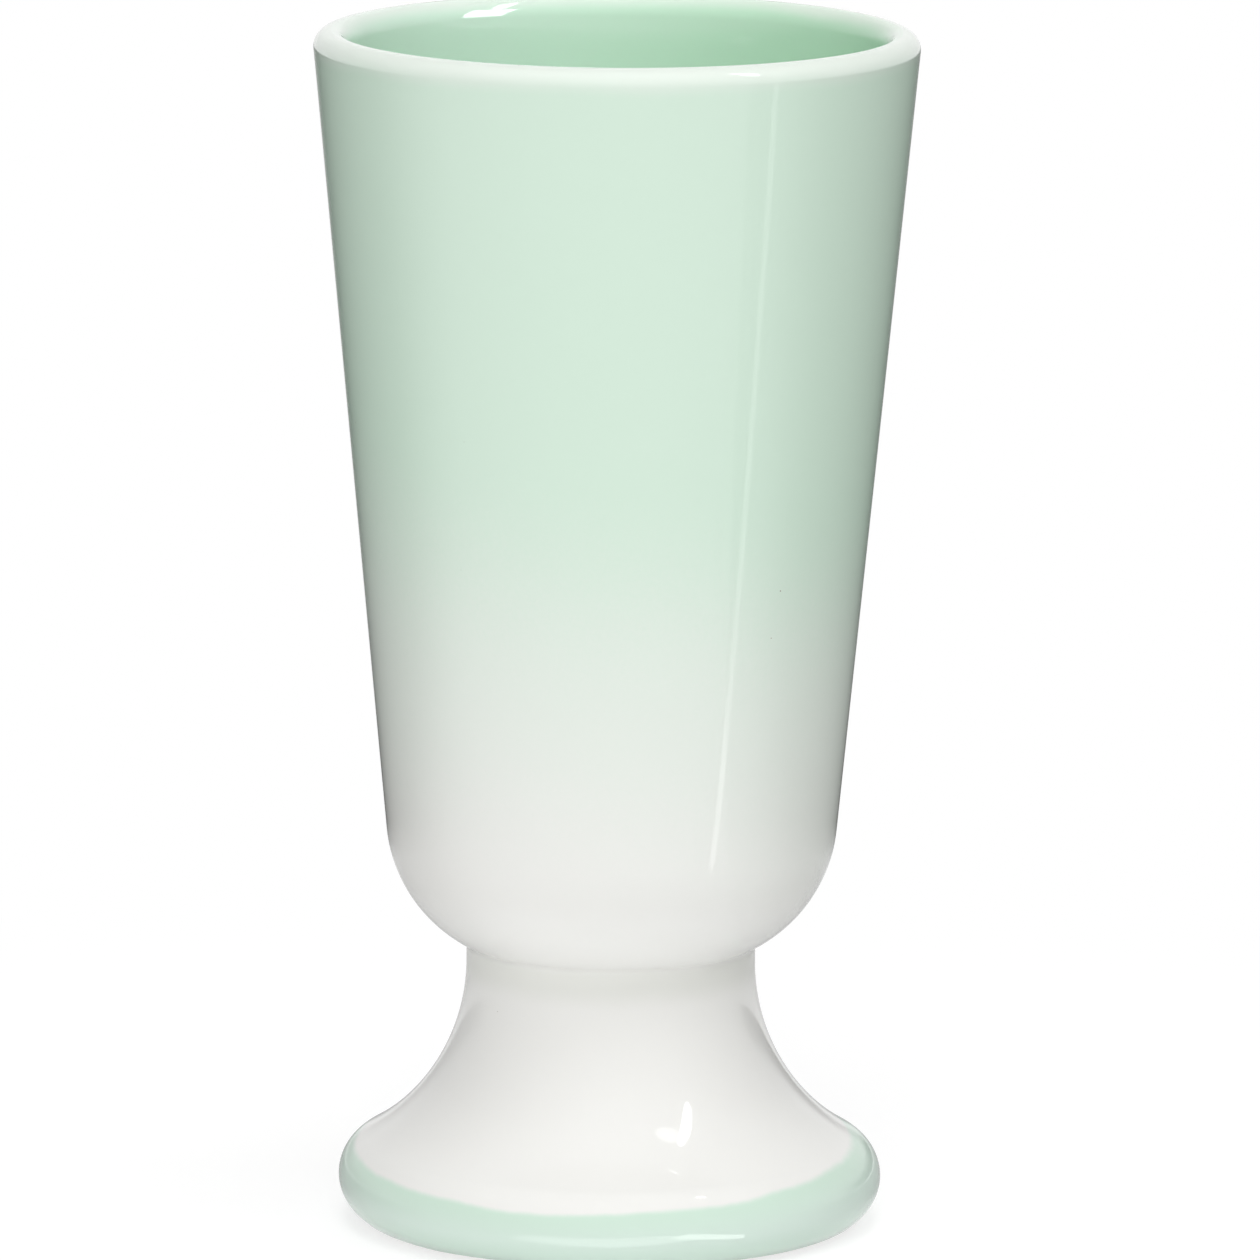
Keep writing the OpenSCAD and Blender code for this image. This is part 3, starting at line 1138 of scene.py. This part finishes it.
soft_box("left_box", -25, 12, lamp_far, box_size, 10.4)
soft_box("front_box", 0, 26, lamp_far, box_size, 6.3)
soft_box("high_box", 0, 62, lamp_far, box_size, 11.8)
soft_box("top_box", 0, 88, lamp_far, box_size, 11.5)
soft_box("right_box", 60, 12, lamp_far, box_size, 1.4)
soft_box("side_box", 72, 50, lamp_far, box_size, 8.2)
soft_box("back_box", 180, 20, lamp_far, box_size, 9.9)
soft_box("under_box", 0, -90, lamp_far, box_size, 9.0)

world = bpy.data.worlds.new("studio")
bpy.context.scene.world = world
world.use_nodes = True
tree = world.node_tree
tree.nodes.clear()
strength = math(tree, "MULTIPLY_ADD", seen_directly(tree), 1.0 - world_light, world_light)
sky = node(tree, "Background", {"Color": white, "Strength": strength})
tree.links.new(sky.outputs[0], tree.nodes.new("ShaderNodeOutputWorld").inputs["Surface"])

# %% [markdown]
# ## Windows in the gloss
#
# The small bright marks on a glazed cup are reflections of windows. Here three small lamps stand high on
# the right and show in the gloss alone: a tall one and its soft tail make the crescent on the foot, and a
# wide one makes the bright mark inside the lip. Light linking keeps each to the coats that it should show
# on.

# %% Windows in the gloss


def gloss_only(source, *pieces):
    """Let a lamp, or a glowing strip of painted highlight, show in the gloss of some pieces, and light
    nothing.
    """
    source.visible_camera = False
    source.visible_diffuse = False
    source.visible_glossy = True
    shown_on = bpy.data.collections.new(source.name + "_shows_on")
    for piece in pieces:
        shown_on.objects.link(piece)
    source.light_linking.receiver_collection = shown_on


window_far = 1.05
window_roll = np.radians(-18)
window = soft_box("window", 67, 53, window_far, (0.10, 0.46), 0.88, window_roll, "ELLIPSE")
window_tail = soft_box("window_tail", 58, 61.5, window_far, (0.24, 0.15), 0.15, shape="ELLIPSE")
lip_window = soft_box("lip_window", 63, 30, window_far, (0.36, 0.44), 4.6)
gloss_only(window, bowl_coat, liner_coat, flare_coat)
gloss_only(window_tail, flare_coat)
gloss_only(lip_window, liner_coat)

# %% [markdown]
# ## Dark cards
#
# A pale glossy cup on white would lose its edges, so a photographer puts dark cards where only
# reflections see them. A card is a grid of points with a darkness at each, and is clear where that is
# nought, so its edges are as soft as they need to be.

# %% Dark cards
dark_colour = (0.05, 0.05, 0.05, 1.0)
card_columns, card_rows = 60, 24


def card_material(name, one_sided):
    """Dark by the share at each point and clear for the rest. A one-sided card is all clear from below."""
    material, tree, surface = new_material(name, dark_colour)
    share = node(tree, "Attribute", attribute_name="dark").outputs["Fac"]
    if one_sided:
        above = math(tree, "SUBTRACT", 1.0, node(tree, "NewGeometry").outputs["Backfacing"])
        share = math(tree, "MULTIPLY", share, above)
    clear = node(tree, "BsdfTransparent", {"Color": white}).outputs[0]
    shade = node(tree, "BsdfDiffuse", {"Color": dark_colour}).outputs[0]
    tree.links.new(node(tree, "MixShader", {0: share, 1: clear, 2: shade}).outputs[0], surface)
    return material


def put_up(name, turn, radius, height, darkness, one_sided):
    """A card on a grid of turns, radii and heights, with a darkness at each point, for the gloss alone."""
    card = flat_sheet(name, *ring_grid(turn, radius, height), card_material(name, one_sided))
    shares = card.data.attributes.new("dark", "FLOAT", "POINT")
    shares.data.foreach_set("value", darkness.astype(np.float32).ravel())
    card.visible_camera = False
    card.visible_diffuse = False
    card.visible_shadow = False
    print(name, "with", len(card.data.vertices), "points, up to", round(float(darkness.max()), 2), "dark")


def card_turns(side, front, back=180):
    """Columns of a card on one side of the cup, in the order that makes it face up."""
    return side * np.linspace(np.radians(front), np.radians(back), card_columns)[::side]


print("cards have", card_columns, "columns and", card_rows, "rows of points")

# %% [markdown]
# ## Level cards
#
# Two cards hang level beside and behind the cup, at the height of the waist. The bowl looks down on them,
# which draws its sides, and the foot doesn't see them, because they are clear from below. Two weaker ones
# lie on the table beside the foot as a painted shadow, which the ends of the band reflect. All are paler
# right behind the cup, so that the outermost line of the sides doesn't turn black.

# %% Level cards
waist_card = {"dark": 1.0, "height": 0.036, "near": 0.042, "soft": 0.034, "far": 1.2, "fade": 0.2}
# A painted shadow beside the foot, which the ends of the band reflect.
foot_shadow_card = {"dark": 0.55, "height": 0.0003, "near": 0.0295, "soft": 0.012, "far": 0.26, "fade": 0.16}
back_start = np.radians(155)


def level_card(name, side, front, full, edge, loss, dark, height, near, soft, far, fade):
    """A level sheet that darkens outwards, and from the dark of its front edge to full dark at an angle.

    Angles are counted from the camera's side. Right behind the cup the card loses a share of its dark.
    """
    turn, outwards = np.meshgrid(card_turns(side, front), np.linspace(0, 1, card_rows))
    radius = near + (far - near) * outwards**2
    front, full = np.radians((front, full))
    round_cup = edge + (1 - edge) * eased((abs(turn) - front) / (full - front))
    behind = 1 - loss * eased((abs(turn) - back_start) / (np.pi - back_start))
    across = eased((radius - near) / soft) * eased((far - radius) / fade)
    put_up(name, turn, radius, height, dark * round_cup * behind * across, one_sided=True)


level_card("dark_card_left", -1, front=58, full=108, edge=0.0, loss=0.7, **waist_card)
level_card("dark_card_right", 1, front=50, full=92, edge=0.3, loss=0.4, **waist_card)
level_card("shadow_card_left", -1, front=45, full=110, edge=0.0, loss=0.6, **foot_shadow_card)
level_card("shadow_card_right", 1, front=45, full=110, edge=0.0, loss=0.6, **foot_shadow_card)

# %% [markdown]
# ## Standing cards
#
# The flare of the foot looks outwards along the table. A card that stands behind it on each side draws a
# dark line down the flare, just inside its outline, and the one on the right is the darker.

# %% Standing cards
standing_far = 0.4
standing_h = 0.085
standing_fade = 0.06
standing_front, standing_back = 105, 168
front_fade, back_fade = 25, 8


def standing_card(name, side, dark):
    """An upright sheet behind the cup on one side, soft at its ends and at its top."""
    turns = card_turns(side, standing_front, standing_back)
    turn, height = np.meshgrid(turns, np.linspace(0, standing_h, card_rows))
    ahead = eased((np.degrees(abs(turn)) - standing_front) / front_fade)
    behind = eased((standing_back - np.degrees(abs(turn))) / back_fade)
    top = eased((standing_h - height) / standing_fade)
    put_up(name, turn, standing_far, height, dark * ahead * behind * top, one_sided=False)


standing_card("standing_card_left", -1, 0.35)
standing_card("standing_card_right", 1, 0.70)

# %% [markdown]
# ## Painted highlights on the table
#
# Glowing strips on the table, which light nothing, are painted highlights. One far on the right paints
# the faint line down the bowl. Two close to the foot paint the glint low on the band and the pale stripe
# beside it. They show in the gloss of their own coat alone, and are clear to everything else.

# %% Painted highlights on the table
# Painted highlights: the faint line down the bowl, the glint on the band and the pale stripe beside it.
seam = {"start": (0.105, -0.096), "stop": (0.500, -0.262), "widths": (0.007, 0.022), "light": 1.25}
foot_glint = {"start": (0.0151, -0.0435), "stop": (0.0226, -0.0321), "widths": (0.009, 0.0030), "light": 2.8}
foot_sheen = {"start": (-0.0170, -0.0390), "stop": (0.0140, -0.0420), "widths": (0.006, 0.009), "light": 1.2}


def painted_highlight_strip(name, pieces, start, stop, widths, light):
    """A glowing strip on the table, a painted highlight in the gloss of some pieces: two ends, each with its
    own width.
    """
    material, tree, surface = new_material(name, white)
    glow = node(tree, "Emission", {"Color": white, "Strength": light}).outputs[0]
    clear = node(tree, "BsdfTransparent", {"Color": white}).outputs[0]
    tree.links.new(node(tree, "AddShader", {0: glow, 1: clear}).outputs[0], surface)
    ends = np.array([start, stop])
    along = ends[1] - ends[0]
    across = np.array([-along[1], along[0]]) / np.hypot(*along)
    reach = across * np.array(widths)[:, None] / 2
    sides = np.concatenate([ends - reach, (ends + reach)[::-1]])
    corners = np.column_stack([sides, np.full(4, floor_drop)])
    strip = flat_sheet(name, corners.tolist(), [(0, 1, 2, 3)], material)
    strip.visible_shadow = False
    gloss_only(strip, *pieces)
    print(name, round(float(np.hypot(*along)), 3), "m long")


painted_highlight_strip("seam", (bowl_coat,), **seam)
painted_highlight_strip("foot_glint", (band_coat,), **foot_glint)
painted_highlight_strip("foot_sheen", (band_coat,), **foot_sheen)

# %% [markdown]
#
# The Standard view shows a colour as it is written.

# %% Finish
bpy.context.scene.view_settings.view_transform = "Standard"
